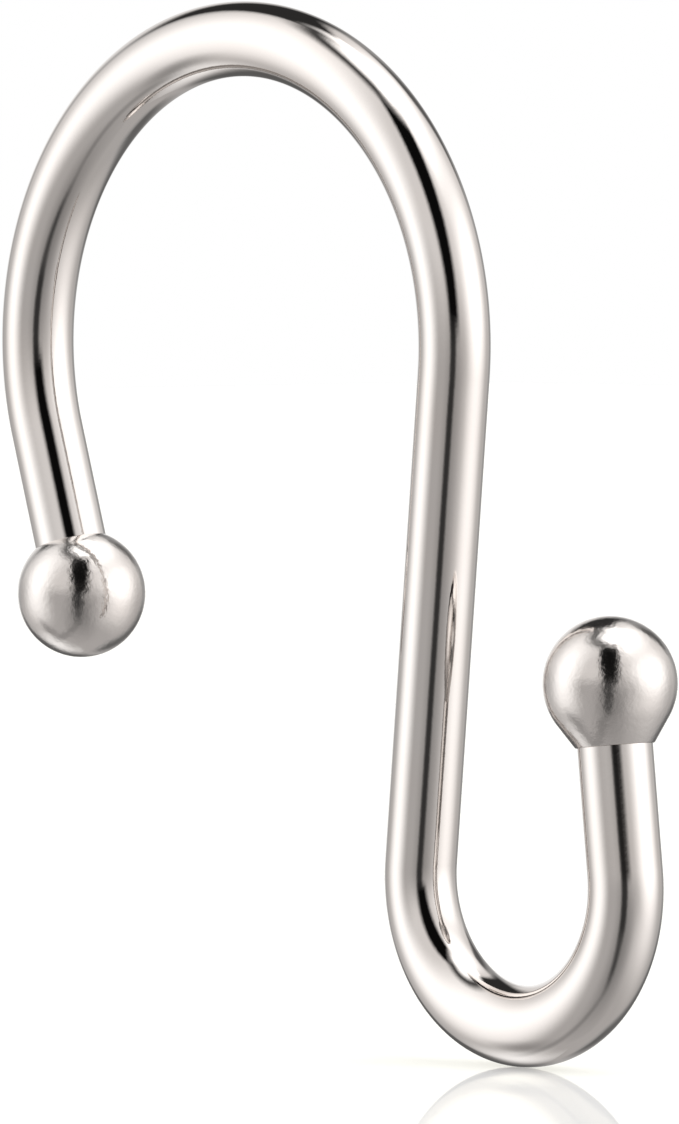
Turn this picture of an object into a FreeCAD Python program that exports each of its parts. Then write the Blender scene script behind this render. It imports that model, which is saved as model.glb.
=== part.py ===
"""Curtain hook: a round bar bent into two open loops, with a ball on each end.

The bar lies in the XZ plane. The large loop goes over the curtain rod, the
straight shank leads down from it, and the small loop takes the curtain.

Frame: millimetres, +Z up, the origin where the crown of the large loop rests on
the rod, the mouth of the large loop towards -X and the small loop towards +X.
"""
import FreeCAD, Part
import Sketcher
import math
import os

DRIVING_SIZES = [
    ("rod_loop_radius", 18.65, "mean radius of the large loop, mm"),
    ("curtain_loop_radius", 8.65, "mean radius of the small loop, mm"),
    ("leg_length", 10.7, "end of the large loop to the ball's centre, mm"),
    ("shank_length", 29.4, "straight run between the two loops, mm"),
    ("upright_length", 11.2, "end of the small loop to the ball's centre, mm"),
    ("leg_lean", 17.4, "free leg's lean towards the shank, degrees"),
    ("shank_lean", 5.4, "shank's lean under the large loop, degrees"),
    ("upright_lean", 6.4, "upright's lean towards the shank, degrees"),
    ("end_diameter", 4.5, "bar where a ball is pressed on, mm"),
    ("crown_diameter", 4.62, "bar at the top of the large loop, mm"),
    ("shank_diameter", 4.36, "bar along the shank, mm"),
    ("bend_diameter", 4.88, "bar at the bottom of the small loop, mm"),
    ("end_chamfer", 0.3, "bevel that leads each end into its ball, mm"),
    ("ball_diameter", 8.0, "both balls, mm"),
    ("bore_past_centre", 1.0, "full bore of a ball past its centre, mm"),
    ("drill_point_angle", 118.0, "full angle of the bore's conical bottom, degrees"),
    ("mouth_rim", 0.1, "flat ring round the bore's mouth, mm"),
    ("neck_length", 0.45, "taper that the curtain end's ball has below its sphere, mm"),
]


def step(start, length, heading):
    """Expressions for the point a length away in the XZ plane, heading from +X."""
    return (
        f"{start[0]} + ({length}) * cos({heading})",
        f"{start[1]} + ({length}) * sin({heading})",
    )


# Headings of the bar's three straight runs, from the leg's ball to the upright's.
LEG_HEADING = "90 + Sizes.leg_lean"
SHANK_HEADING = "-90 - Sizes.shank_lean"
UPRIGHT_HEADING = "90 + Sizes.upright_lean"

# Points along the centre line, as expressions in the sheet's names.
LOOP_CENTRE = ("0", "Sizes.crown_diameter / 2 - Sizes.rod_loop_radius")
CROWN = step(LOOP_CENTRE, "Sizes.rod_loop_radius", "90")
LEG_TOP = step(LOOP_CENTRE, "Sizes.rod_loop_radius", "180 + Sizes.leg_lean")
LEG_BALL = step(LEG_TOP, "-Sizes.leg_length", LEG_HEADING)
LEG_END = step(LEG_BALL, "-Sizes.bore_past_centre", LEG_HEADING)
SHANK_TOP = step(LOOP_CENTRE, "Sizes.rod_loop_radius", "-Sizes.shank_lean")
SHANK_FOOT = step(SHANK_TOP, "Sizes.shank_length", SHANK_HEADING)
BEND_CENTRE = step(SHANK_FOOT, "Sizes.curtain_loop_radius", "-Sizes.shank_lean")
BEND_BOTTOM = step(BEND_CENTRE, "Sizes.curtain_loop_radius", "-90")
UPRIGHT_FOOT = step(BEND_CENTRE, "Sizes.curtain_loop_radius", "Sizes.upright_lean")
UPRIGHT_BALL = step(UPRIGHT_FOOT, "Sizes.upright_length", UPRIGHT_HEADING)
UPRIGHT_END = step(UPRIGHT_BALL, "Sizes.bore_past_centre", UPRIGHT_HEADING)

BALL_RADIUS = "Sizes.ball_diameter / 2"
BORE_RADIUS = "Sizes.end_diameter / 2"
MOUTH_RADIUS = "(Sizes.end_diameter / 2 + Sizes.mouth_rim)"
PLAIN_REACH = f"sqrt((Sizes.ball_diameter / 2) ^ 2 - {MOUTH_RADIUS} ^ 2)"
NECK_REACH = f"{PLAIN_REACH} + Sizes.neck_length"
DRILL_TIP = f"Sizes.bore_past_centre + {BORE_RADIUS} / tan(Sizes.drill_point_angle / 2)"

# Sketcher's numbers for an edge's points, and for the sketch's own origin and axis.
FIRST, LAST, CENTRE = range(1, 4)
ORIGIN, VERTICAL_AXIS = range(-1, -3, -1)


def make_sheet(doc):
    """Spreadsheet of driving sizes: name, value and what it is, one a row."""
    sheet = doc.addObject("Spreadsheet::Sheet", "Sizes")
    for row, (name, value, meaning) in enumerate(DRIVING_SIZES, start=1):
        sheet.set(f"A{row}", name)
        sheet.set(f"B{row}", str(value))
        sheet.set(f"C{row}", meaning)
        sheet.setAlias(f"B{row}", name)
    doc.recompute()
    return sheet


def origin_feature(body, role):
    """A body's own base plane or axis, found by its role."""
    for feature in body.Origin.OriginFeatures:
        if feature.Role == role:
            return feature
    raise RuntimeError(f"{body.Label} has no {role}")


def plane_sketch(body, name, role):
    """Empty sketch on one of a body's own base planes."""
    sketch = body.newObject("Sketcher::SketchObject", name)
    sketch.AttachmentSupport = (origin_feature(body, role), "")
    sketch.MapMode = "FlatFace"
    return sketch


def located(sheet, place):
    """Sketch point for a pair of expressions."""
    return FreeCAD.Vector(sheet.evalExpression(place[0]), sheet.evalExpression(place[1]), 0)


def add_line(sketch, start, end):
    """Straight line in a sketch."""
    return sketch.addGeometry(Part.LineSegment(start, end), False)


def add_arc(sketch, start, middle, end):
    """Arc in a sketch, through three points."""
    return sketch.addGeometry(Part.Arc(start, middle, end), False)


def constrain(sketch, kind, *places):
    """Add a geometric rule to a sketch."""
    sketch.addConstraint(Sketcher.Constraint(kind, *places))


def dimension(sketch, kind, places, expression):
    """Add a dimension to a sketch and tie it to the sheet."""
    value = sketch.evalExpression(expression)
    if kind == "Angle":
        value = math.radians(value)
    index = sketch.addConstraint(Sketcher.Constraint(kind, *places, value))
    sketch.setExpression(f"Constraints[{index}]", expression)


def draw_bar_line(body, sheet):
    """Centre line of the bar: leg, large loop, shank, small loop and upright."""
    line = plane_sketch(body, "BarLine", "XZ_Plane")
    leg = add_line(line, located(sheet, LEG_END), located(sheet, LEG_TOP))
    rod_loop = add_arc(
        line, located(sheet, SHANK_TOP), located(sheet, CROWN), located(sheet, LEG_TOP)
    )
    shank = add_line(line, located(sheet, SHANK_TOP), located(sheet, SHANK_FOOT))
    curtain_loop = add_arc(
        line,
        located(sheet, SHANK_FOOT),
        located(sheet, BEND_BOTTOM),
        located(sheet, UPRIGHT_FOOT),
    )
    upright = add_line(line, located(sheet, UPRIGHT_FOOT), located(sheet, UPRIGHT_END))

    constrain(line, "Tangent", leg, LAST, rod_loop, LAST)
    constrain(line, "Tangent", rod_loop, FIRST, shank, FIRST)
    constrain(line, "Tangent", shank, LAST, curtain_loop, FIRST)
    constrain(line, "Tangent", curtain_loop, LAST, upright, FIRST)
    constrain(line, "PointOnObject", rod_loop, CENTRE, VERTICAL_AXIS)
    dimension(line, "DistanceY", (ORIGIN, FIRST, rod_loop, CENTRE), LOOP_CENTRE[1])
    dimension(line, "Radius", (rod_loop,), "Sizes.rod_loop_radius")
    dimension(line, "Radius", (curtain_loop,), "Sizes.curtain_loop_radius")
    dimension(line, "Distance", (leg,), "Sizes.leg_length + Sizes.bore_past_centre")
    dimension(line, "Distance", (shank,), "Sizes.shank_length")
    dimension(line, "Distance", (upright,), "Sizes.upright_length + Sizes.bore_past_centre")
    dimension(line, "Angle", (leg,), LEG_HEADING)
    dimension(line, "Angle", (shank,), SHANK_HEADING)
    dimension(line, "Angle", (upright,), UPRIGHT_HEADING)
    return line, rod_loop, curtain_loop


def draw_section(body, name, place, heading, size):
    """Round section of the bar, centred on a point and square to a heading."""
    section = plane_sketch(body, name, "YZ_Plane")
    across = FreeCAD.Vector(1, 0, 0)
    section.AttachmentOffset = FreeCAD.Placement(
        FreeCAD.Vector(0, 0, 0), FreeCAD.Rotation(across, 90)
    )
    section.setExpression("AttachmentOffset.Base.z", place[0])
    section.setExpression("AttachmentOffset.Base.y", place[1])
    section.setExpression("AttachmentOffset.Rotation.Angle", f"-({heading})")
    radius = section.evalExpression(size) / 2
    circle = Part.Circle(FreeCAD.Vector(0, 0, 0), FreeCAD.Vector(0, 0, 1), radius)
    edge = section.addGeometry(circle, False)
    constrain(section, "Coincident", edge, CENTRE, ORIGIN, FIRST)
    dimension(section, "Diameter", (edge,), size)
    return section


def end_edges(shape):
    """Names of the edges round a shape's flat ends."""
    flats = [face for face in shape.Faces if face.Surface.TypeId == "Part::GeomPlane"]
    names = []
    for number, edge in enumerate(shape.Edges, start=1):
        if any(edge.isSame(border) for face in flats for border in face.Edges):
            names.append(f"Edge{number}")
    return names


def add_straight(body, name, start, heading, size, length):
    """Straight run of the bar, padded from a round section."""
    run = body.newObject("PartDesign::Pad", name)
    run.Profile = draw_section(body, f"{name}Section", start, heading, size)
    run.setExpression("Length", length)
    return run


def add_loop(body, name, line, edge, centre, radius, stations):
    """Curved run of the bar, swept counter-clockwise through round sections."""
    sections = []
    for number, (angle, size) in enumerate(stations, start=1):
        place = step(centre, radius, angle)
        sections.append(draw_section(body, f"{name}Section{number}", place, f"{angle} + 90", size))
    body.Document.recompute()
    run = body.newObject("PartDesign::AdditivePipe", name)
    run.Profile = sections[0]
    run.Spine = (line, [f"Edge{edge + 1}"])
    run.Transformation = "Multisection"
    run.Sections = [(section, [""]) for section in sections[1:]]
    return run


def between(first, second):
    """Expression half-way between two others."""
    return f"(({first}) + ({second})) / 2"


def loop_stations(start, start_size, peak, peak_size, end, end_size):
    """Sections of a loop that swells smoothly to a peak between its two ends."""
    return [
        (start, start_size),
        (between(start, peak), between(start_size, peak_size)),
        (peak, peak_size),
        (between(peak, end), between(peak_size, end_size)),
        (end, end_size),
    ]


def make_hook_bar(doc, sheet):
    """The bent bar: three straights and two swelling loops, both ends bevelled."""
    body = doc.addObject("PartDesign::Body", "hook_bar")
    line, rod_loop, curtain_loop = draw_bar_line(body, sheet)
    add_straight(
        body,
        "Leg",
        LEG_END,
        LEG_HEADING,
        "Sizes.end_diameter",
        "Sizes.leg_length + Sizes.bore_past_centre",
    )
    rod_stations = loop_stations(
        "-Sizes.shank_lean",
        "Sizes.shank_diameter",
        "90",
        "Sizes.crown_diameter",
        "180 + Sizes.leg_lean",
        "Sizes.end_diameter",
    )
    add_loop(body, "RodLoop", line, rod_loop, LOOP_CENTRE, "Sizes.rod_loop_radius", rod_stations)
    add_straight(
        body,
        "Shank",
        SHANK_TOP,
        SHANK_HEADING,
        "Sizes.shank_diameter",
        "Sizes.shank_length",
    )
    curtain_stations = loop_stations(
        "180 - Sizes.shank_lean",
        "Sizes.shank_diameter",
        "270",
        "Sizes.bend_diameter",
        "360 + Sizes.upright_lean",
        "Sizes.end_diameter",
    )
    add_loop(
        body,
        "CurtainLoop",
        line,
        curtain_loop,
        BEND_CENTRE,
        "Sizes.curtain_loop_radius",
        curtain_stations,
    )
    upright = add_straight(
        body,
        "Upright",
        UPRIGHT_FOOT,
        UPRIGHT_HEADING,
        "Sizes.end_diameter",
        "Sizes.upright_length + Sizes.bore_past_centre",
    )
    doc.recompute()

    bevel = body.newObject("PartDesign::Chamfer", "EndBevels")
    bevel.Base = (upright, end_edges(upright.Shape))
    bevel.setExpression("Size", "Sizes.end_chamfer")
    doc.recompute()
    return body


def draw_ball_outline(body, tapered):
    """Half outline of a ball, its mouth facing -Z, with or without a tapered neck."""
    outline = plane_sketch(body, "BallOutline", "XZ_Plane")
    radius = outline.evalExpression(BALL_RADIUS)
    mouth_radius = outline.evalExpression(MOUTH_RADIUS)
    reach = outline.evalExpression(NECK_REACH if tapered else PLAIN_REACH)
    corner = FreeCAD.Vector(mouth_radius, -reach, 0)
    foot = FreeCAD.Vector(0, -reach, 0)
    pole = FreeCAD.Vector(0, radius, 0)
    side = FreeCAD.Vector(radius, 0, 0)
    turn = math.acos(radius / corner.Length) if tapered else 0
    touch = math.atan2(-reach, mouth_radius) + turn
    leaving = FreeCAD.Vector(math.cos(touch), math.sin(touch), 0) * radius

    sphere = add_arc(outline, leaving, side, pole)
    axis = add_line(outline, pole, foot)
    mouth = add_line(outline, foot, corner)
    constrain(outline, "Coincident", sphere, CENTRE, ORIGIN, FIRST)
    constrain(outline, "Coincident", sphere, LAST, axis, FIRST)
    constrain(outline, "Coincident", axis, LAST, mouth, FIRST)
    constrain(outline, "PointOnObject", axis, FIRST, VERTICAL_AXIS)
    constrain(outline, "PointOnObject", axis, LAST, VERTICAL_AXIS)
    constrain(outline, "Horizontal", mouth)
    dimension(outline, "Radius", (sphere,), BALL_RADIUS)
    dimension(outline, "Distance", (mouth,), MOUTH_RADIUS)
    if tapered:
        taper = add_line(outline, corner, leaving)
        constrain(outline, "Coincident", mouth, LAST, taper, FIRST)
        constrain(outline, "Tangent", taper, LAST, sphere, FIRST)
        dimension(outline, "DistanceY", (mouth, LAST, ORIGIN, FIRST), NECK_REACH)
    else:
        constrain(outline, "Coincident", mouth, LAST, sphere, FIRST)
    return outline


def draw_bore_outline(body):
    """Half outline of the blind bore: open below the ball, conical at its end."""
    outline = plane_sketch(body, "BoreOutline", "XZ_Plane")
    radius = outline.evalExpression(BORE_RADIUS)
    outside = -outline.evalExpression(BALL_RADIUS)
    depth = outline.evalExpression("Sizes.bore_past_centre")
    tip = outline.evalExpression(DRILL_TIP)
    corners = [
        FreeCAD.Vector(0, outside, 0),
        FreeCAD.Vector(radius, outside, 0),
        FreeCAD.Vector(radius, depth, 0),
        FreeCAD.Vector(0, tip, 0),
    ]
    entry = add_line(outline, corners[0], corners[1])
    wall = add_line(outline, corners[1], corners[2])
    cone = add_line(outline, corners[2], corners[3])
    axis = add_line(outline, corners[3], corners[0])
    constrain(outline, "Coincident", entry, LAST, wall, FIRST)
    constrain(outline, "Coincident", wall, LAST, cone, FIRST)
    constrain(outline, "Coincident", cone, LAST, axis, FIRST)
    constrain(outline, "Coincident", axis, LAST, entry, FIRST)
    constrain(outline, "PointOnObject", axis, FIRST, VERTICAL_AXIS)
    constrain(outline, "PointOnObject", axis, LAST, VERTICAL_AXIS)
    constrain(outline, "Horizontal", entry)
    constrain(outline, "Vertical", wall)
    dimension(outline, "Distance", (entry,), BORE_RADIUS)
    dimension(outline, "DistanceY", (entry, LAST, ORIGIN, FIRST), BALL_RADIUS)
    dimension(outline, "DistanceY", (ORIGIN, FIRST, wall, LAST), "Sizes.bore_past_centre")
    dimension(outline, "DistanceY", (ORIGIN, FIRST, cone, LAST), DRILL_TIP)
    return outline


def make_ball(doc, label, place, tilt, tapered):
    """A turned ball with a blind bore, tilted about Y so that its mouth meets the bar."""
    body = doc.addObject("PartDesign::Body", label)
    turned = body.newObject("PartDesign::Revolution", "TurnedBall")
    turned.Profile = draw_ball_outline(body, tapered)
    turned.ReferenceAxis = (turned.Profile[0], ["V_Axis"])
    turned.Angle = 360
    doc.recompute()

    bore = body.newObject("PartDesign::Groove", "Bore")
    bore.Profile = draw_bore_outline(body)
    bore.ReferenceAxis = (bore.Profile[0], ["V_Axis"])
    bore.Angle = 360
    doc.recompute()
    if body.Shape.Volume >= turned.Shape.Volume:
        raise RuntimeError(f"{label} has no bore")

    across = FreeCAD.Vector(0, 1, 0)
    body.Placement = FreeCAD.Placement(FreeCAD.Vector(0, 0, 0), FreeCAD.Rotation(across, 90))
    body.setExpression("Placement.Base.x", place[0])
    body.setExpression("Placement.Base.z", place[1])
    body.setExpression("Placement.Rotation.Angle", tilt)
    doc.recompute()
    return body


def write_pieces(doc, pieces):
    """Check every object and each piece's solid, then write one file a piece."""
    for item in doc.Objects:
        if "Invalid" in item.State or "Error" in item.State:
            raise RuntimeError(f"{item.Label} failed: {item.State}")
    for body in pieces:
        if body.Shape.isNull() or not body.Shape.isValid():
            raise RuntimeError(f"{body.Label} has no valid shape")
    os.makedirs("parts", exist_ok=True)
    for body in pieces:
        body.Shape.exportStep(f"parts/{body.Label}.step")
        print(body.Label, round(body.Shape.Volume, 2), "mm3", body.Shape.BoundBox)


def main():
    """Build the hook and write its pieces."""
    doc = FreeCAD.newDocument("curtain_hook")
    sheet = make_sheet(doc)
    pieces = [
        make_hook_bar(doc, sheet),
        make_ball(doc, "rod_end_ball", LEG_BALL, "180 - Sizes.leg_lean", False),
        make_ball(doc, "curtain_end_ball", UPRIGHT_BALL, "-Sizes.upright_lean", True),
    ]
    write_pieces(doc, pieces)


main()
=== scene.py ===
"""Looks of a polished nickel curtain hook: bent bar, two balls and a white studio.

Laid out as an add-on: property groups hold what a user would change, one operator
makes each kind of piece and one the studio, and a sidebar panel lists them.
Lengths are metres, in the frame's own axes: the hook lies in the XZ plane, the
origin is where the large loop rests on the rod and +Z is up.
"""

import math
import typing

import bmesh
import bpy
from mathutils import Matrix, Vector


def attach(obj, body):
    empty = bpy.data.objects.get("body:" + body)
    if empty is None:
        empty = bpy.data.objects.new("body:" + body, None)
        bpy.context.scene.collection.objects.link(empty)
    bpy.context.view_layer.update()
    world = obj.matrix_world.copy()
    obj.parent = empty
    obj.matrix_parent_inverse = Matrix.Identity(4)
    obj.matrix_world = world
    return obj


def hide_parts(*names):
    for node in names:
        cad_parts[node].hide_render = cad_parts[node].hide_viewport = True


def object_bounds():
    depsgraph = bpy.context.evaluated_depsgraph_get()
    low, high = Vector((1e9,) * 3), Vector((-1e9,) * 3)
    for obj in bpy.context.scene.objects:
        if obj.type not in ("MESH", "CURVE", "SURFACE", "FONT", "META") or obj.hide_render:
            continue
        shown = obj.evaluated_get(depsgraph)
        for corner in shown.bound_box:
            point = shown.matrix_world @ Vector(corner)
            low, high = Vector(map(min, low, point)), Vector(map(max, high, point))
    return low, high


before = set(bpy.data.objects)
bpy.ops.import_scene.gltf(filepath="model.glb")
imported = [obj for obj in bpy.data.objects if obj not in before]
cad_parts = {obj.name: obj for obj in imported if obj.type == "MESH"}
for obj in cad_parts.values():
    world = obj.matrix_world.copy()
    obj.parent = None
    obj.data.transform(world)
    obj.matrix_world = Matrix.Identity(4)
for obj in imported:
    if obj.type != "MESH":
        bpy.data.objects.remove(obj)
cad_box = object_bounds()

bl_info = {
    "name": "Curtain hook",
    "version": (1, 0, 0),
    "blender": (4, 5, 0),
    "location": "View3D > Sidebar > Curtain hook",
    "description": "Models a polished nickel curtain hook and the studio it stands in",
    "category": "Object",
}

MM = 0.001
# Tints of the tent's light.
PLAIN = (1.0, 1.0, 1.0)
WARM = (1.02, 1.0, 0.99)

# Fine enough that no facet shows in what the metal mirrors.
RING_SEGMENTS = 72
LOOP_STEP = math.radians(1.5)
BALL_ARC_STEPS = 60
BALL_SPIN_STEPS = 96
MOUTH_ROUND_SEGMENTS = 2
SHARP_EDGE = math.radians(30)
# Points closer together than this are one.
WELD = 1e-7

# Half the length of the floor's side.
FLOOR_HALF = 1.5
FLOOR_ROUGHNESS = 0.02
ACRYLIC_IOR = 1.49
# Light of the sheet's own: it lifts the floor to white and leaves the hook's shadow.
FLOOR_LIFT = 0.46
# Fresnel share at which the floor's mirror image is as strong as it gets.
FULL_MIRROR_FRESNEL = 0.6

# In millimetres, as cameras count it.
SENSOR_LONG_SIDE = 36.0
CLIP_START = 10 * MM
# Sides of a tent sheet, in degrees, that lie past any ray, so they never show.
ALL_ROUND = (-200, 200)
PAST_TOP = 120
# Square to the gap under the hook: towards the camera's right, its far side and up.
SLANTING_GAP = (-0.871, -0.337, 0.357)


class Grain(typing.NamedTuple):
    """Noise pattern in the metal's skin.

    Size is that of its largest spots. Detail adds layers of finer ones, each as
    strong as the fade says against the one before it.
    """

    size: float
    detail: float
    fade: float


# Patches that the buffing wheel leaves, and spots where the plating is thin.
BUFFED_PATCH = Grain(2.5 * MM, 3.0, 0.6)
THIN_PLATING = Grain(6.0 * MM, 1.0, 0.5)
# Real pebbles are about as fine as a pixel of the render, so these are drawn coarser.
CAST_RIPPLE = Grain(0.3 * MM, 2.0, 0.5)
# Most of a noise texture lies between these two values.
NOISE_SPAN = (0.35, 0.65)
# How far a buffed patch's roughness is from the mean, as a share of it.
GLOSS_SPREAD = 0.3


class HookSizes(bpy.types.PropertyGroup):
    """Driving sizes of the bar and the balls."""

    rod_loop_radius: bpy.props.FloatProperty(
        name="Rod loop radius",
        description="Mean radius of the large loop",
        default=18.65 * MM,
        unit="LENGTH",
    )
    curtain_loop_radius: bpy.props.FloatProperty(
        name="Curtain loop radius",
        description="Mean radius of the small loop",
        default=8.65 * MM,
        unit="LENGTH",
    )
    leg_length: bpy.props.FloatProperty(
        name="Leg length",
        description="From the end of the large loop to its ball's centre",
        default=10.7 * MM,
        unit="LENGTH",
    )
    shank_length: bpy.props.FloatProperty(
        name="Shank length",
        description="Straight run between the two loops",
        default=29.4 * MM,
        unit="LENGTH",
    )
    upright_length: bpy.props.FloatProperty(
        name="Upright length",
        description="From the end of the small loop to its ball's centre",
        default=11.2 * MM,
        unit="LENGTH",
    )
    leg_lean: bpy.props.FloatProperty(
        name="Leg lean",
        description="Free leg's lean towards the shank",
        default=math.radians(17.4),
        subtype="ANGLE",
    )
    shank_lean: bpy.props.FloatProperty(
        name="Shank lean",
        description="Shank's lean under the large loop",
        default=math.radians(5.4),
        subtype="ANGLE",
    )
    upright_lean: bpy.props.FloatProperty(
        name="Upright lean",
        description="Upright's lean towards the shank",
        default=math.radians(6.4),
        subtype="ANGLE",
    )
    end_diameter: bpy.props.FloatProperty(
        name="End diameter",
        description="Bar where a ball is pressed on",
        default=4.5 * MM,
        unit="LENGTH",
    )
    crown_diameter: bpy.props.FloatProperty(
        name="Crown diameter",
        description="Bar at the top of the large loop",
        default=4.62 * MM,
        unit="LENGTH",
    )
    shank_diameter: bpy.props.FloatProperty(
        name="Shank diameter",
        description="Bar along the shank",
        default=4.36 * MM,
        unit="LENGTH",
    )
    bend_diameter: bpy.props.FloatProperty(
        name="Bend diameter",
        description="Bar at the bottom of the small loop",
        default=4.88 * MM,
        unit="LENGTH",
    )
    end_chamfer: bpy.props.FloatProperty(
        name="End chamfer",
        description="Bevel that leads each end of the bar into its ball",
        default=0.3 * MM,
        unit="LENGTH",
    )
    ball_diameter: bpy.props.FloatProperty(
        name="Ball diameter",
        description="Both balls",
        default=8.0 * MM,
        unit="LENGTH",
    )
    bore_past_centre: bpy.props.FloatProperty(
        name="Bore past centre",
        description="Full bore of a ball past its centre",
        default=1.0 * MM,
        unit="LENGTH",
    )
    drill_point_angle: bpy.props.FloatProperty(
        name="Drill point angle",
        description="Full angle of the bore's conical bottom",
        default=math.radians(118.0),
        subtype="ANGLE",
    )
    mouth_rim: bpy.props.FloatProperty(
        name="Mouth rim",
        description="Flat ring round the mouth of a ball's bore",
        default=0.1 * MM,
        unit="LENGTH",
    )
    mouth_round: bpy.props.FloatProperty(
        name="Mouth round",
        description="Rounding of a ball's outer edge where the bar goes in",
        default=0.06 * MM,
        unit="LENGTH",
    )
    neck_length: bpy.props.FloatProperty(
        name="Neck length",
        description="Taper below the sphere of the curtain end's ball",
        default=0.45 * MM,
        unit="LENGTH",
    )


class HookFinish(bpy.types.PropertyGroup):
    """Colours and gloss of the plating and of the floor."""

    nickel_colour: bpy.props.StringProperty(
        name="Nickel colour",
        description="Plating's colour as an sRGB hex value",
        default="#E5E1DE",
    )
    thin_nickel_colour: bpy.props.StringProperty(
        name="Thin nickel colour",
        description="Colour where the plating is thin, as an sRGB hex value",
        default="#E2DBD6",
    )
    bar_roughness: bpy.props.FloatProperty(
        name="Bar roughness",
        description="Roughness of the bar's buffed plating",
        default=0.045,
        subtype="FACTOR",
    )
    ball_roughness: bpy.props.FloatProperty(
        name="Ball roughness",
        description="Roughness of the balls' tumbled plating",
        default=0.15,
        subtype="FACTOR",
    )
    bar_ripple: bpy.props.FloatProperty(
        name="Bar ripple",
        description="Height of the ripples in the bar's skin",
        default=0.0018 * MM,
        unit="LENGTH",
    )
    ball_ripple: bpy.props.FloatProperty(
        name="Ball ripple",
        description="Height of the pebbles in the balls' skin",
        default=0.013 * MM,
        unit="LENGTH",
    )
    floor_colour: bpy.props.StringProperty(
        name="Floor colour",
        description="Floor's colour to the camera as an sRGB hex value",
        default="#F4F4F4",
    )
    mirror_colour: bpy.props.StringProperty(
        name="Mirror colour",
        description="What the floor's mirror image is tinted with",
        default="#FFFEEF",
    )
    floor_mirror: bpy.props.FloatProperty(
        name="Floor mirror",
        description="Share of the floor that is a mirror image, seen from low down",
        default=0.44,
        subtype="FACTOR",
    )


class StudioLight(bpy.types.PropertyGroup):
    """Levels of the light tent, where 1 is white."""

    floor_level: bpy.props.FloatProperty(
        name="Floor level",
        description="Dim cloth under the hook, as its reflections show it",
        default=0.48,
    )
    left_wall_level: bpy.props.FloatProperty(
        name="Left wall level",
        description="Side wall to the camera's left",
        default=0.8,
    )
    right_wall_level: bpy.props.FloatProperty(
        name="Right wall level",
        description="Side wall to the camera's right",
        default=0.81,
    )
    left_box_level: bpy.props.FloatProperty(
        name="Left box level",
        description="Middle of the light box to the camera's left",
        default=1.6,
    )
    right_box_level: bpy.props.FloatProperty(
        name="Right box level",
        description="Middle of the light box to the camera's right",
        default=1.9,
    )
    overhead_level: bpy.props.FloatProperty(
        name="Overhead level",
        description="Overhead light box",
        default=1.8,
    )


class StudioCamera(bpy.types.PropertyGroup):
    """Where the camera stands and how long its lens is."""

    azimuth: bpy.props.FloatProperty(
        name="Azimuth",
        description="Turn round +Z, from in front of the hook's plane towards +X",
        default=math.radians(46.17),
        subtype="ANGLE",
    )
    elevation: bpy.props.FloatProperty(
        name="Elevation",
        description="Camera's height above its aim, as an angle",
        default=math.radians(2.18),
        subtype="ANGLE",
    )
    distance: bpy.props.FloatProperty(
        name="Distance",
        description="From the camera to its aim",
        default=574.3 * MM,
        unit="LENGTH",
    )
    aim: bpy.props.FloatVectorProperty(
        name="Aim",
        description="Point that the camera looks at",
        default=(8.70 * MM, 0.0, -29.54 * MM),
        subtype="TRANSLATION",
    )
    focal_length: bpy.props.FloatProperty(
        name="Focal length",
        description="Lens, for a sensor 36 mm along the frame's long side",
        default=302.76,
        unit="CAMERA",
    )


def step(start, length, heading):
    """Point a length away in the XZ plane, the heading counted from +X towards +Z."""
    return start + Vector((math.cos(heading), 0, math.sin(heading))) * length


def ease(share):
    """Smooth rise from 0 to 1, level at both ends."""
    return (1 - math.cos(math.pi * share)) / 2


def new_ring(mesh, centre, heading, radius):
    """Capped circle of edges, square to a heading."""
    upright = Matrix.Rotation(math.pi / 2 - heading, 4, "Y")
    bmesh.ops.create_circle(
        mesh,
        cap_ends=True,
        segments=RING_SEGMENTS,
        radius=radius,
        matrix=Matrix.Translation(centre) @ upright,
    )
    return mesh.edges[:]


def grow(mesh, ring, matrix):
    """Extrude a ring of edges, move the new ring and return it."""
    made = bmesh.ops.extrude_edge_only(mesh, edges=ring)["geom"]
    verts = [part for part in made if isinstance(part, bmesh.types.BMVert)]
    bmesh.ops.transform(mesh, matrix=matrix, verts=verts)
    corners = set(verts)
    return [
        part
        for part in made
        if isinstance(part, bmesh.types.BMEdge) and corners.issuperset(part.verts)
    ]


def about(centre, matrix):
    """Matrix that turns or scales about a point."""
    return Matrix.Translation(centre) @ matrix @ Matrix.Translation(-centre)


def grow_straight(mesh, ring, start, end, widening=1.0):
    """Straight run of the bar, with its far ring scaled by the widening."""
    widened = about(end, Matrix.Scale(widening, 4))
    return grow(mesh, ring, widened @ Matrix.Translation(end - start))


def grow_loop(mesh, ring, centre, reach, angles, diameters):
    """Curved run about a centre, from its first diameter by its middle to its last."""
    first, last = angles
    steps = math.ceil(abs(last - first) / LOOP_STEP)
    turn = (last - first) / steps
    turned = about(centre, Matrix.Rotation(-turn, 4, "Y"))
    start, peak, end = diameters
    size = start
    for number in range(1, steps + 1):
        share = 2 * number / steps
        if share <= 1:
            wanted = start + (peak - start) * ease(share)
        else:
            wanted = peak + (end - peak) * ease(share - 1)
        middle = step(centre, reach, first + turn * number)
        swollen = about(middle, Matrix.Scale(wanted / size, 4))
        ring = grow(mesh, ring, swollen @ turned)
        size = wanted
    return ring


def new_object(name, mesh, material):
    """Object in the scene, made from a bmesh and of one material."""
    data = bpy.data.meshes.new(name)
    mesh.to_mesh(data)
    mesh.free()
    data.materials.append(material)
    made = bpy.data.objects.new(name, data)
    bpy.context.scene.collection.objects.link(made)
    return made


def finish_piece(name, mesh, cad_node, material):
    """Turn a bmesh into a smooth piece that stands for a CAD node."""
    bmesh.ops.remove_doubles(mesh, verts=mesh.verts, dist=WELD)
    bmesh.ops.recalc_face_normals(mesh, faces=mesh.faces)
    for face in mesh.faces:
        face.smooth = True
    for edge in mesh.edges:
        edge.smooth = edge.calc_face_angle(0) < SHARP_EDGE
    piece = new_object(name, mesh, material)
    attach(piece, "root")
    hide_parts(cad_node)


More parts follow.
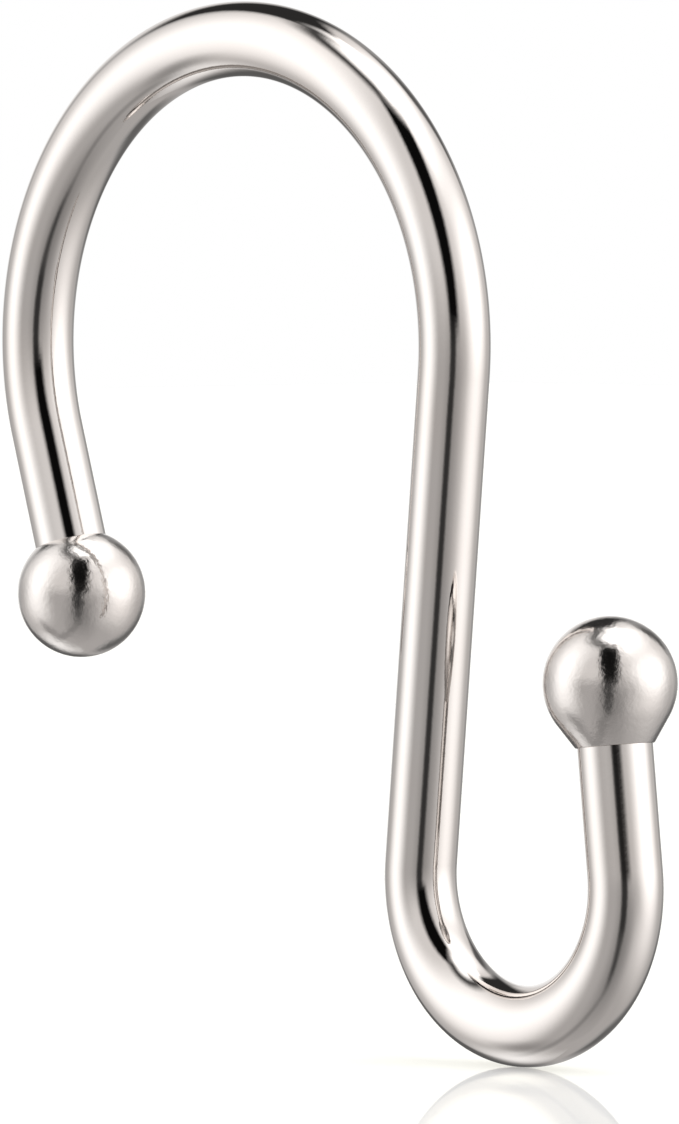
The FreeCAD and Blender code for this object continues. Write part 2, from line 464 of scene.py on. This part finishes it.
class HookLine:
    """Points along the bar's centre line, worked out from the sizes."""

    def __init__(self, sizes):
        rod_loop = sizes.rod_loop_radius
        curtain_loop = sizes.curtain_loop_radius
        bored = sizes.bore_past_centre
        self.leg_heading = math.pi / 2 + sizes.leg_lean
        self.loop_centre = Vector((0, 0, sizes.crown_diameter / 2 - rod_loop))
        self.leg_top = step(self.loop_centre, rod_loop, math.pi + sizes.leg_lean)
        self.leg_ball = step(self.leg_top, -sizes.leg_length, self.leg_heading)
        self.leg_end = step(self.leg_ball, -bored, self.leg_heading)
        shank_heading = -math.pi / 2 - sizes.shank_lean
        self.shank_top = step(self.loop_centre, rod_loop, -sizes.shank_lean)
        self.shank_foot = step(self.shank_top, sizes.shank_length, shank_heading)
        self.bend_centre = step(self.shank_foot, curtain_loop, -sizes.shank_lean)
        heading = math.pi / 2 + sizes.upright_lean
        self.upright_foot = step(self.bend_centre, curtain_loop, sizes.upright_lean)
        self.upright_ball = step(self.upright_foot, sizes.upright_length, heading)
        self.upright_end = step(self.upright_ball, bored, heading)
        self.upright_heading = heading


class HOOK_OT_bar(bpy.types.Operator):
    """Model the bent bar from one end to the other"""

    bl_idname = "hook.bar"
    bl_label = "Bent bar"

    def execute(self, context):
        """Grow the bar ring by ring along its centre line."""
        sizes = context.scene.hook_sizes
        line = HookLine(sizes)
        radius = sizes.end_diameter / 2
        bevelled = radius - sizes.end_chamfer
        mesh = bmesh.new()
        ring = new_ring(mesh, line.leg_end, line.leg_heading, bevelled)
        shoulder = step(line.leg_end, sizes.end_chamfer, line.leg_heading)
        ring = grow_straight(mesh, ring, line.leg_end, shoulder, radius / bevelled)
        ring = grow_straight(mesh, ring, shoulder, line.leg_top)
        ring = grow_loop(
            mesh,
            ring,
            line.loop_centre,
            sizes.rod_loop_radius,
            (math.pi + sizes.leg_lean, -sizes.shank_lean),
            (sizes.end_diameter, sizes.crown_diameter, sizes.shank_diameter),
        )
        ring = grow_straight(mesh, ring, line.shank_top, line.shank_foot)
        ring = grow_loop(
            mesh,
            ring,
            line.bend_centre,
            sizes.curtain_loop_radius,
            (math.pi - sizes.shank_lean, math.tau + sizes.upright_lean),
            (sizes.shank_diameter, sizes.bend_diameter, sizes.end_diameter),
        )
        shoulder = step(line.upright_end, -sizes.end_chamfer, line.upright_heading)
        ring = grow_straight(mesh, ring, line.upright_foot, shoulder)
        ring = grow_straight(mesh, ring, shoulder, line.upright_end, bevelled / radius)
        bmesh.ops.contextual_create(mesh, geom=ring)
        finish = context.scene.hook_finish
        # Drawn, bent and buffed along its length: the cleaner mirror of the two.
        material = nickel(
            finish, "nickel_on_drawn_bar", finish.bar_roughness, finish.bar_ripple
        )
        finish_piece("bent_bar", mesh, "hook_bar", material)
        return {"FINISHED"}


def ball_mesh(sizes, tapered):
    """Ball turned about Z, with its bore open towards -Z."""
    radius = sizes.ball_diameter / 2
    bore = sizes.end_diameter / 2
    mouth = bore + sizes.mouth_rim
    reach = math.sqrt(radius**2 - mouth**2)
    turn = 0.0
    if tapered:
        reach += sizes.neck_length
        turn = math.acos(radius / math.hypot(mouth, reach))
    # Where the outline leaves the sphere: at the mouth, or as a tangent into the taper.
    leaving = math.atan2(-reach, mouth) + turn
    tip = sizes.bore_past_centre + bore / math.tan(sizes.drill_point_angle / 2)
    mesh = bmesh.new()
    pole = mesh.verts.new((0, 0, radius))
    arc = bmesh.ops.spin(
        mesh,
        geom=[pole],
        cent=(0, 0, 0),
        axis=(0, 1, 0),
        angle=math.pi / 2 - leaving,
        steps=BALL_ARC_STEPS,
        use_merge=False,
    )
    last = next(
        part for part in arc["geom_last"] if isinstance(part, bmesh.types.BMVert)
    )
    profile = [(mouth, -reach)] if tapered else []
    profile += [(bore, -reach), (bore, sizes.bore_past_centre), (0, tip)]
    for across, along in profile:
        corner = mesh.verts.new((across, 0, along))
        mesh.edges.new((last, corner))
        last = corner
    bmesh.ops.spin(
        mesh,
        geom=mesh.verts[:] + mesh.edges[:],
        cent=(0, 0, 0),
        axis=(0, 0, 1),
        angle=math.tau,
        steps=BALL_SPIN_STEPS,
        use_merge=True,
    )
    bmesh.ops.remove_doubles(mesh, verts=mesh.verts, dist=WELD)
    rim = [
        edge
        for edge in mesh.edges
        if all(
            vert.co.z + reach < WELD and vert.co.xy.length > mouth - WELD
            for vert in edge.verts
        )
    ]
    bmesh.ops.bevel(
        mesh,
        geom=rim,
        offset=sizes.mouth_round,
        offset_type="OFFSET",
        affect="EDGES",
        segments=MOUTH_ROUND_SEGMENTS,
        profile=0.5,
        material=-1,
    )
    return mesh


class HOOK_OT_balls(bpy.types.Operator):
    """Model the two balls on the bar's ends"""

    bl_idname = "hook.balls"
    bl_label = "Ball ends"

    def execute(self, context):
        """Turn each ball and set its mouth against the bar."""
        sizes = context.scene.hook_sizes
        line = HookLine(sizes)
        finish = context.scene.hook_finish
        # Cast and tumbled before plating, which leaves a pebbled skin under the shine.
        material = nickel(
            finish, "nickel_on_cast_ball", finish.ball_roughness, finish.ball_ripple
        )
        tilts = (math.pi - sizes.leg_lean, -sizes.upright_lean)
        places = [
            ("rod_side_ball", "rod_end_ball", line.leg_ball, tilts[0], False),
            ("curtain_side_ball", "curtain_end_ball", line.upright_ball, tilts[1], True),
        ]
        for name, cad_node, centre, tilt, tapered in places:
            mesh = ball_mesh(sizes, tapered)
            place = Matrix.Translation(centre) @ Matrix.Rotation(tilt, 4, "Y")
            bmesh.ops.transform(mesh, matrix=place, verts=mesh.verts)
            finish_piece(name, mesh, cad_node, material)
        return {"FINISHED"}


def linear(colour):
    """Linear RGBA of an sRGB hex value, by the standard's own curve."""
    channels = [int(colour[place : place + 2], 16) / 255 for place in (1, 3, 5)]
    return [
        value / 12.92 if value <= 0.04045 else ((value + 0.055) / 1.055) ** 2.4
        for value in channels
    ] + [1.0]


def node(tree, kind, settings, inputs):
    """Add a node with its settings; an input is a plain value or a socket to link."""
    made = tree.nodes.new(kind)
    for name, value in settings.items():
        setattr(made, name, value)
    for name, value in inputs.items():
        if isinstance(value, bpy.types.NodeSocket):
            tree.links.new(value, made.inputs[name])
        else:
            made.inputs[name].default_value = value
    return made


def blank_tree(owner):
    """Emptied node tree of a material or a world."""
    owner.use_nodes = True
    owner.node_tree.nodes.clear()
    return owner.node_tree


def nickel(finish, name, roughness, waviness):
    """Bright nickel plating over metal that is as rough and as wavy as it says.

    Its surface is a mirror with three faults that the eye sees at once: buffing leaves
    patches a little duller than others, the plating is a shade warmer where it is thin,
    and the metal under it ripples, so that no edge in a reflection is quite clean.
    """
    material = bpy.data.materials.new(name)
    tree = blank_tree(material)
    place = node(tree, "ShaderNodeTexCoord", {}, {}).outputs["Object"]
    patches, thin, ripple = (
        node(
            tree,
            "ShaderNodeTexNoise",
            {},
            {
                "Vector": place,
                "Scale": 1 / grain.size,
                "Detail": grain.detail,
                "Roughness": grain.fade,
            },
        ).outputs[0]
        for grain in (BUFFED_PATCH, THIN_PLATING, CAST_RIPPLE)
    )
    gloss = node(
        tree,
        "ShaderNodeMapRange",
        {},
        {
            "Value": patches,
            "From Min": NOISE_SPAN[0],
            "From Max": NOISE_SPAN[1],
            "To Min": roughness * (1 - GLOSS_SPREAD),
            "To Max": roughness * (1 + GLOSS_SPREAD),
        },
    )
    colour = node(
        tree,
        "ShaderNodeMix",
        {"data_type": "RGBA"},
        {
            0: thin,
            6: linear(finish.nickel_colour),
            7: linear(finish.thin_nickel_colour),
        },
    )
    bumps = node(
        tree,
        "ShaderNodeBump",
        {},
        {"Height": ripple, "Strength": 1.0, "Distance": waviness},
    )
    shader = node(
        tree,
        "ShaderNodeBsdfPrincipled",
        {},
        {
            "Base Color": colour.outputs[2],
            "Metallic": 1.0,
            "Roughness": gloss.outputs[0],
            "Normal": bumps.outputs[0],
        },
    )
    node(tree, "ShaderNodeOutputMaterial", {}, {"Surface": shader.outputs["BSDF"]})
    return material


class HOOK_OT_studio(bpy.types.Operator):
    """Set up the floor, the light and the camera"""

    bl_idname = "hook.studio"
    bl_label = "Studio"

    def execute(self, context):
        """Make the stage round the hook."""
        scene = context.scene
        scene.view_settings.view_transform = "Standard"
        make_floor(scene.hook_finish)
        make_world(scene)
        make_camera(scene)
        return {"FINISHED"}


def make_floor(finish):
    """Glossy white floor that the small loop stands on."""
    mesh = bmesh.new()
    bmesh.ops.create_grid(mesh, x_segments=1, y_segments=1, size=FLOOR_HALF)
    bmesh.ops.translate(mesh, vec=(0, 0, cad_box[0][2]), verts=mesh.verts)
    floor = new_object("floor", mesh, glossy_white_floor(finish))


def glossy_white_floor(finish):
    """White acrylic sheet: white to the camera, with a faint mirror image of the hook.

    The sheet is clear to the hook's own reflections, which show the tent's lower cloth:
    a floor there would draw a hard horizon across the shank and the balls.
    """
    material = bpy.data.materials.new("glossy_white_acrylic")
    tree = blank_tree(material)
    white = linear(finish.floor_colour)
    sheet = node(tree, "ShaderNodeBsdfDiffuse", {}, {"Color": white}).outputs[0]
    lift = node(tree, "ShaderNodeEmission", {}, {"Strength": FLOOR_LIFT}).outputs[0]
    lit = node(tree, "ShaderNodeAddShader", {}, {0: sheet, 1: lift})
    mirror = node(
        tree,
        "ShaderNodeBsdfGlossy",
        {},
        {"Color": linear(finish.mirror_colour), "Roughness": FLOOR_ROUGHNESS},
    )
    slant = node(tree, "ShaderNodeFresnel", {}, {"IOR": ACRYLIC_IOR})
    share = node(
        tree,
        "ShaderNodeMapRange",
        {},
        {
            "Value": slant.outputs[0],
            "From Max": FULL_MIRROR_FRESNEL,
            "To Max": finish.floor_mirror,
        },
    )
    polished = node(
        tree,
        "ShaderNodeMixShader",
        {},
        {0: share.outputs[0], 1: lit.outputs[0], 2: mirror.outputs[0]},
    )
    clear = node(tree, "ShaderNodeBsdfTransparent", {}, {})
    path = node(tree, "ShaderNodeLightPath", {}, {})
    shown = node(
        tree,
        "ShaderNodeMixShader",
        {},
        {0: path.outputs["Is Glossy Ray"], 1: polished.outputs[0], 2: clear.outputs[0]},
    )
    node(tree, "ShaderNodeOutputMaterial", {}, {"Surface": shown.outputs[0]})
    return material


class Sheet(typing.NamedTuple):
    """Soft-edged sheet of the tent, its sides and softness in degrees.

    Across and up each name two sides, and soft how far those sides fade, first those
    across. Across is counted from the camera's side, positive to its right. Seen from
    "behind" it is counted from the far side, positive to the camera's left, and seen
    as "slant" it is square to the gap that slants under the hook. Lean moves each
    side across by a share of the height.
    """

    level: float
    across: tuple
    up: tuple
    soft: tuple
    lean: tuple = (0, 0)
    seen: str = "across"
    tint: tuple = PLAIN


class Glow(typing.NamedTuple):
    """Oval glow or shade that fades evenly from its centre, in degrees."""

    level: float
    centre: tuple
    spread: tuple
    tint: tuple = PLAIN


def tent_layers(studio):
    """Everything that the tent shows, each layer over the ones before it.

    The layers stand where the photographed streaks along the bar and on the balls
    say that something bright or dark stood round the hook.
    """
    left_wall = studio.left_wall_level
    right_wall = studio.right_wall_level
    overhead = studio.overhead_level
    return [
        # Side walls, lit down to the floor, with a light box in front of each.
        Sheet(left_wall, (-179, -2), (6, PAST_TOP), (8, 12), (0, -0.2), tint=WARM),
        Sheet(right_wall, (2, 179), (4, PAST_TOP), (9, 22), (0.1, 0), tint=WARM),
        Glow(0.85, (-98, -18), (52, 34), WARM),
        Glow(1.1, (78, -14), (56, 50), WARM),
        Glow(studio.left_box_level, (-89, 18), (42, 74)),
        Glow(studio.right_box_level, (78, 16), (54, 40)),
        # Shade in front of the hook, under the camera's opening.
        Glow(0.25, (-1, -32), (38, 78), WARM),
        Glow(0.1, (-5, -6), (13, 22), WARM),
        # Cloth under the hook: bright at the far left, with two dark folds beside it.
        Glow(1.15, (-142, -51), (32, 24)),
        Glow(0.34, (-100, -50), (14, 26), WARM),
        Sheet(0.07, (-13, 1), (-50, -20), (7, 12)),
        Sheet(0.04, (-13, 4), (-26, 9), (6, 8)),
        Sheet(0.06, (-1, 1), (-84, -54), (8, 10), seen="slant"),
        # Overhead box, longer on the right, and the dark seam beside it on the left.
        Sheet(overhead, ALL_ROUND, (73, PAST_TOP), (4, 5)),
        Sheet(overhead, (33, 154), (48, PAST_TOP), (20, 18)),
        Sheet(overhead, (-30, 33), (64, PAST_TOP), (8, 4), seen="behind"),
        Sheet(0.025, (-162, -12), (64, 77), (20, 8)),
        # Black opening that the camera looks through.
        Sheet(0.004, (-12, 13), (3, 67), (8, 5), (-0.3, 0.15)),
        # Far side, dark round the white backdrop.
        Sheet(0.46, (28, 40), (-8, 62), (8, 5), (0.1, 0.1), "behind"),
        Sheet(0.37, (-38, -6), (-55, 40), (8, 6), (0.1, 0.2), "behind"),
        Sheet(0.12, (-38, -20), (15, 38), (6, 4), seen="behind"),
        Sheet(0.15, (-32, -12), (-48, -8), (9, 5), (0.1, 0), "behind"),
        Sheet(0.03, (-18, 35), (26, 67), (5, 6), (0.2, 0.1), "behind"),
        Sheet(0.12, (-2, 30), (-38, -8), (5, 10), seen="behind"),
        Sheet(1.0, (-11, 23), (-8, 14), (5, 5), seen="behind"),
    ]


def sheet_share(tree, directions, sheet):
    """Share of a sheet in a direction: 1 inside it, 0 outside, soft at its edges."""
    height = directions["up"]
    sides = []
    for place, shift in zip(sheet.across, sheet.lean):
        value = directions[sheet.seen]
        if shift:
            value = node(
                tree,
                "ShaderNodeMath",
                {"operation": "MULTIPLY_ADD"},
                {0: height, 1: -shift, 2: value},
            ).outputs[0]
        sides.append((value, place, sheet.soft[0]))
    sides += [(height, place, sheet.soft[1]) for place in sheet.up]
    share = None
    # Of each two sides, the sheet begins past the first and ends past the second.
    for (value, place, softness), past in zip(sides, (1.0, 0.0, 1.0, 0.0)):
        edge = node(
            tree,
            "ShaderNodeMapRange",
            {"interpolation_type": "SMOOTHSTEP"},
            {
                "Value": value,
                "From Min": math.radians(place - softness),
                "From Max": math.radians(place + softness),
                "To Min": 1.0 - past,
                "To Max": past,
            },
        ).outputs[0]
        if share:
            edge = node(
                tree, "ShaderNodeMath", {"operation": "MULTIPLY"}, {0: share, 1: edge}
            ).outputs[0]
        share = edge
    return share


def glow_share(tree, directions, glow):
    """Share of a glow in a direction: 1 at its centre, falling evenly to 0."""
    across, up = (
        node(
            tree,
            "ShaderNodeMath",
            {"operation": "SUBTRACT"},
            {0: directions[name], 1: math.radians(angle)},
        ).outputs[0]
        for name, angle in zip(("across", "up"), glow.centre)
    )
    # A degree across is shorter high up and low down, as on a globe.
    level = directions["level"]
    across = node(
        tree, "ShaderNodeMath", {"operation": "MULTIPLY"}, {0: across, 1: level}
    ).outputs[0]
    offset = node(tree, "ShaderNodeCombineXYZ", {}, {0: across, 1: up}).outputs[0]
    scaled = node(
        tree,
        "ShaderNodeVectorMath",
        {"operation": "DIVIDE"},
        {0: offset, 1: [*map(math.radians, glow.spread), 1.0]},
    ).outputs[0]
    reach = node(tree, "ShaderNodeVectorMath", {"operation": "LENGTH"}, {0: scaled})
    return node(
        tree,
        "ShaderNodeMapRange",
        {"interpolation_type": "SMOOTHSTEP"},
        {"Value": reach.outputs["Value"], "To Min": 1.0, "To Max": 0.0},
    ).outputs[0]


def tent_directions(tree, azimuth):
    """Angles of a ray, by how each is counted, and how level it runs.

    They depend on the ray alone, turned once by where the photographed side faces.
    """
    place = node(tree, "ShaderNodeTexCoord", {}, {})
    turned = node(
        tree,
        "ShaderNodeVectorRotate",
        {"rotation_type": "Z_AXIS"},
        {"Vector": place.outputs["Generated"], "Angle": -azimuth},
    ).outputs[0]
    right, away, high = node(tree, "ShaderNodeSeparateXYZ", {}, {0: turned}).outputs
    opposite = node(
        tree, "ShaderNodeVectorMath", {"operation": "SCALE"}, {0: turned, "Scale": -1.0}
    ).outputs[0]
    left, back, _ = node(tree, "ShaderNodeSeparateXYZ", {}, {0: opposite}).outputs
    across_gap = node(
        tree,
        "ShaderNodeVectorMath",
        {"operation": "DOT_PRODUCT"},
        {0: turned, 1: SLANTING_GAP},
    ).outputs["Value"]
    up = node(tree, "ShaderNodeMath", {"operation": "ARCSINE"}, {0: high}).outputs[0]
    angles = {
        "across": ("ARCTAN2", {0: right, 1: back}),
        "behind": ("ARCTAN2", {0: left, 1: away}),
        "slant": ("ARCSINE", {0: across_gap}),
        "level": ("COSINE", {0: up}),
    }
    return {"up": up} | {
        name: node(tree, "ShaderNodeMath", {"operation": operation}, inputs).outputs[0]
        for name, (operation, inputs) in angles.items()
    }


def make_world(scene):
    """Light tent: two side boxes and an overhead one, with dark gaps between them.

    The camera sees plain white, and so does what light passes through. Metal sees the
    tent, which holds that white only where the backdrop stood: white all round would
    wipe the dark streaks off the nickel.
    """
    studio = scene.hook_studio
    world = bpy.data.worlds.new("light_tent")
    scene.world = world
    tree = blank_tree(world)
    directions = tent_directions(tree, scene.hook_camera.azimuth)
    light = [studio.floor_level * part for part in WARM] + [1.0]
    for layer in tent_layers(studio):
        find_share = sheet_share if isinstance(layer, Sheet) else glow_share
        share = find_share(tree, directions, layer)
        colour = [layer.level * part for part in layer.tint] + [1.0]
        light = node(
            tree,
            "ShaderNodeMix",
            {"data_type": "RGBA"},
            {0: share, 6: light, 7: colour},
        ).outputs[2]
    path = node(tree, "ShaderNodeLightPath", {}, {})
    tent = node(tree, "ShaderNodeBackground", {}, {"Color": light})
    white = node(tree, "ShaderNodeBackground", {}, {"Color": (*PLAIN, 1.0)})
    seen = node(
        tree,
        "ShaderNodeMath",
        {"operation": "MAXIMUM"},
        {0: path.outputs["Is Camera Ray"], 1: path.outputs["Is Transmission Ray"]},
    )
    mixed = node(
        tree,
        "ShaderNodeMixShader",
        {},
        {0: seen.outputs[0], 1: tent.outputs[0], 2: white.outputs[0]},
    )
    node(tree, "ShaderNodeOutputWorld", {}, {"Surface": mixed.outputs[0]})


def make_camera(scene):
    """Camera at the photograph's angle."""
    view = scene.hook_camera
    data = bpy.data.cameras.new("camera")
    data.sensor_width = SENSOR_LONG_SIDE
    data.lens = view.focal_length
    data.clip_start = CLIP_START
    camera = bpy.data.objects.new("camera", data)
    scene.collection.objects.link(camera)
    back = Vector(
        (
            math.sin(view.azimuth) * math.cos(view.elevation),
            -math.cos(view.azimuth) * math.cos(view.elevation),
            math.sin(view.elevation),
        )
    )
    camera.location = Vector(view.aim) + back * view.distance
    camera.rotation_euler = back.to_track_quat("Z", "Y").to_euler()
    scene.camera = camera


class HOOK_PT_panel(bpy.types.Panel):
    """Sidebar panel with the hook's steps and sizes"""

    bl_idname = "HOOK_PT_panel"
    bl_label = "Curtain hook"
    bl_space_type = "VIEW_3D"
    bl_region_type = "UI"
    bl_category = "Curtain hook"

    def draw(self, context):
        """List the operators, then each group's values."""
        layout = self.layout
        for operator in OPERATORS:
            layout.operator(operator.bl_idname)
        for name in GROUPS:
            group = getattr(context.scene, name)
            box = layout.box()
            for value in group.bl_rna.properties.keys():
                if value not in ("rna_type", "name"):
                    box.prop(group, value)


OPERATORS = [HOOK_OT_bar, HOOK_OT_balls, HOOK_OT_studio]
GROUPS = {
    "hook_sizes": HookSizes,
    "hook_finish": HookFinish,
    "hook_studio": StudioLight,
    "hook_camera": StudioCamera,
}


def register():
    """Register the classes and hang the property groups on the scene."""
    for item in (*GROUPS.values(), *OPERATORS, HOOK_PT_panel):
        bpy.utils.register_class(item)
    for name, group in GROUPS.items():
        setattr(bpy.types.Scene, name, bpy.props.PointerProperty(type=group))


def unregister():
    """Undo what register did."""
    for name in GROUPS:
        delattr(bpy.types.Scene, name)
    for item in (HOOK_PT_panel, *OPERATORS, *GROUPS.values()):
        bpy.utils.unregister_class(item)


def main():
    """Make the pieces and the studio."""
    register()
    bpy.ops.hook.bar()
    bpy.ops.hook.balls()
    bpy.ops.hook.studio()


if __name__ == "__main__":
    main()
